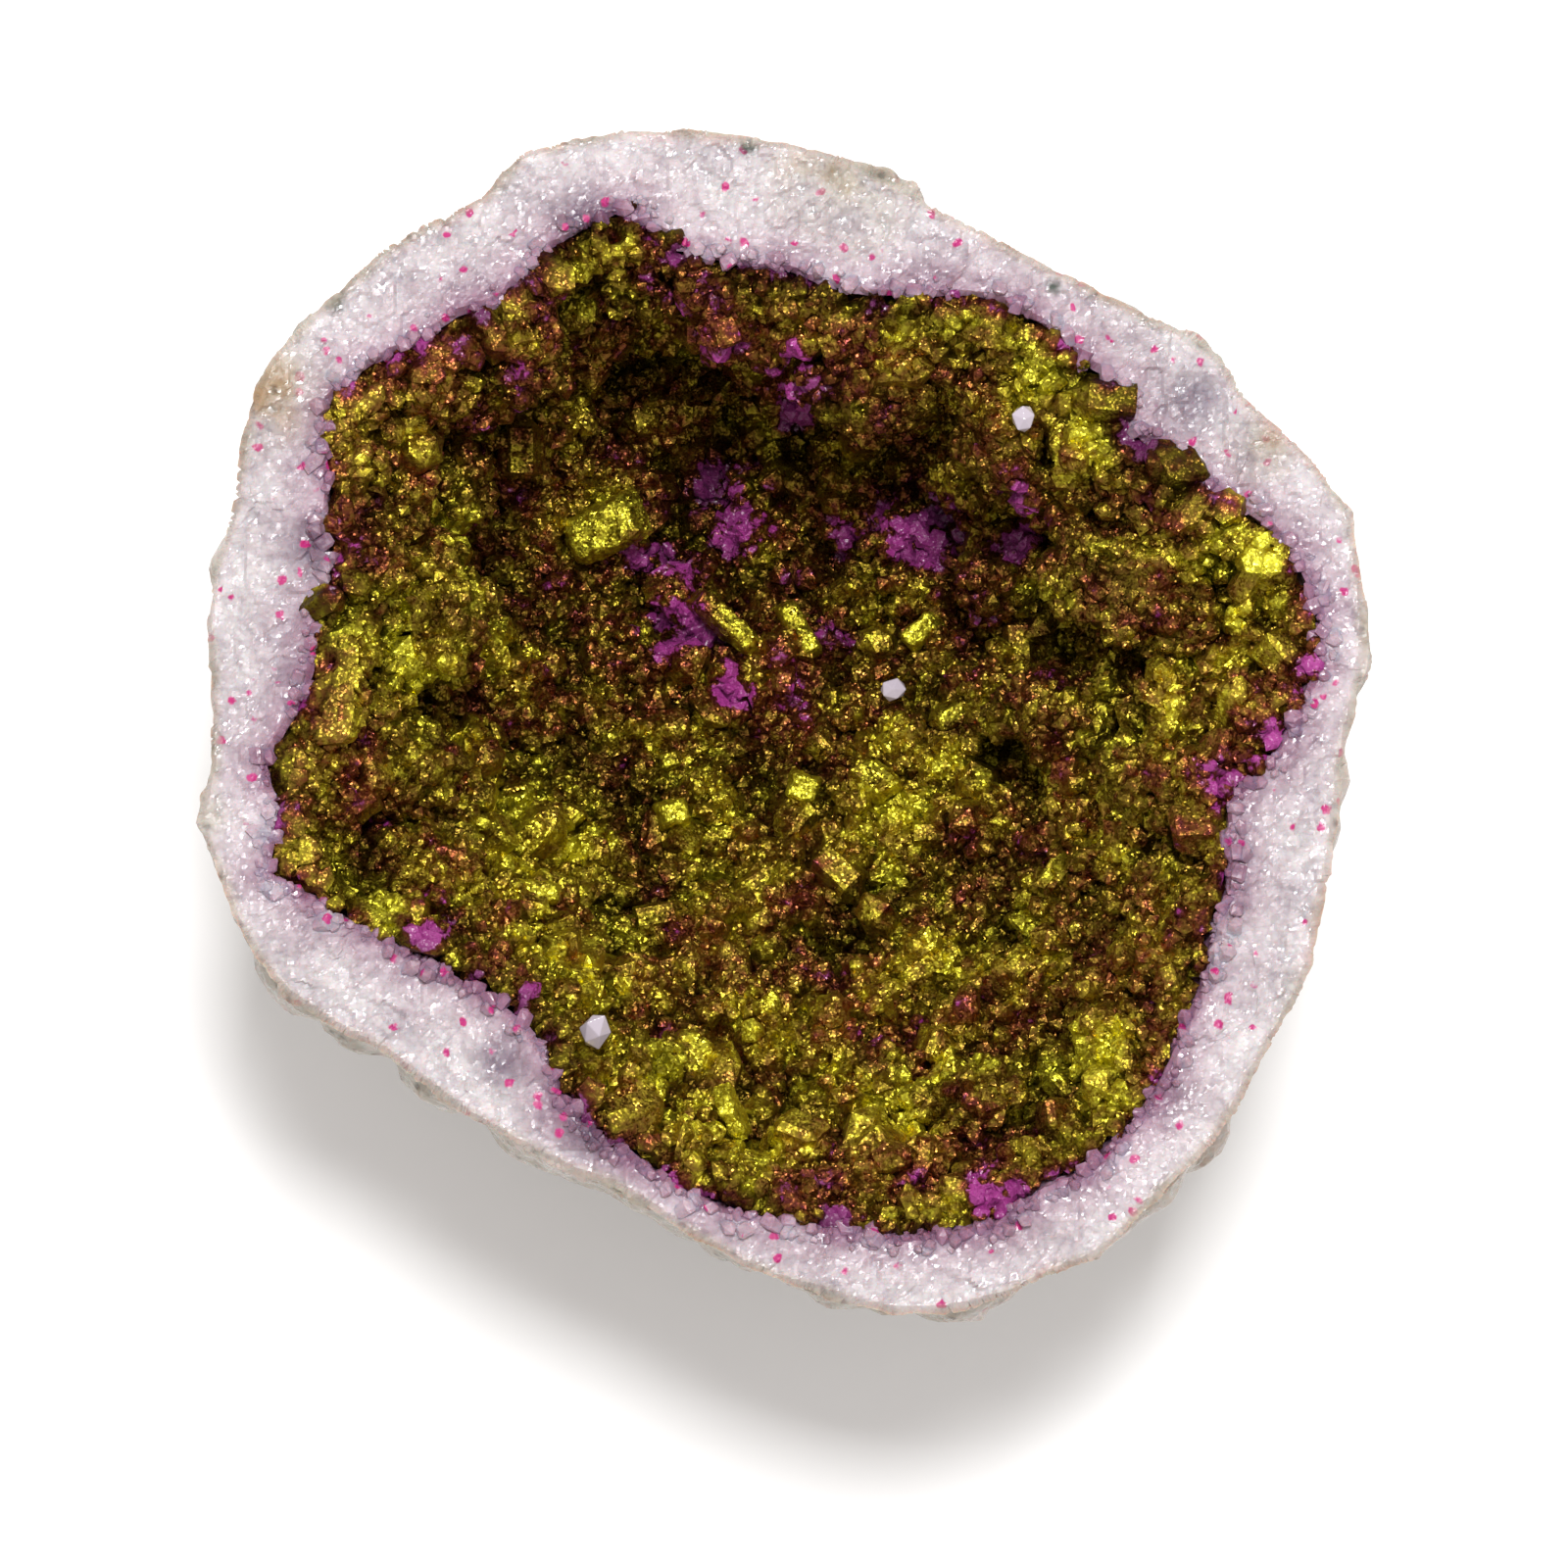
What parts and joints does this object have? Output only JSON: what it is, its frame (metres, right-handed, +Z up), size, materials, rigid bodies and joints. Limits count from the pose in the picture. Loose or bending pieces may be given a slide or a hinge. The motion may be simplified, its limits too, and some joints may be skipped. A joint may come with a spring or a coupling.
{
  "type": "geode half",
  "caption": "Half of a small quartz nodule, broken open: a rough bowl of white rock whose hollow is lined with dyed crystals. It rests on its rounded back as a display piece.",
  "frame": {"origin": "middle of the footprint, on the surface the half rests on", "axes": "+Z is up, out of the broken face; -Y is the side with the gentle inner slope; +X is to the right seen from -Y"},
  "size_m": [0.0701, 0.071, 0.0364],
  "materials": {
    "white_quartz": "sugar-grained broken quartz, lilac near the hollow, with a thin tan limestone rind outside",
    "dyed_druse": "small quartz crystals under a dried magenta dye film with a green-gold metallic sheen",
    "gilded_crystal": "single quartz crystals under a bright green-gold dye film",
    "clear_quartz": "broken chips of pale translucent quartz"
  },
  "bodies": {
    "root": {"stone_wall": "white_quartz", "crystal_lining": "dyed_druse", "shoulder_cluster": "dyed_druse", "knob_cluster": "dyed_druse", "peak_cluster": "dyed_druse", "peak_side_cluster": "dyed_druse", "shaded_cluster": "dyed_druse", "left_cluster": "dyed_druse", "left_low_cluster": "dyed_druse", "lower_left_cluster": "dyed_druse", "upper_shelf_cluster": "dyed_druse", "jagged_shelf_cluster": "dyed_druse", "overhang_cluster": "dyed_druse", "hanging_cluster": "dyed_druse", "small_right_cluster": "dyed_druse", "right_wall_cluster": "dyed_druse", "right_ledge_cluster": "dyed_druse", "near_right_cluster": "dyed_druse", "near_lump_cluster": "dyed_druse", "near_left_cluster": "dyed_druse", "bright_plate": "gilded_crystal", "long_blade": "gilded_crystal", "short_blade": "gilded_crystal", "near_blade": "gilded_crystal", "left_bar": "gilded_crystal", "floor_block": "gilded_crystal", "left_floor_block": "gilded_crystal", "near_floor_block": "gilded_crystal", "upper_chip": "clear_quartz", "left_chip": "clear_quartz", "floor_chip": "clear_quartz"}
  },
  "joints": []
}
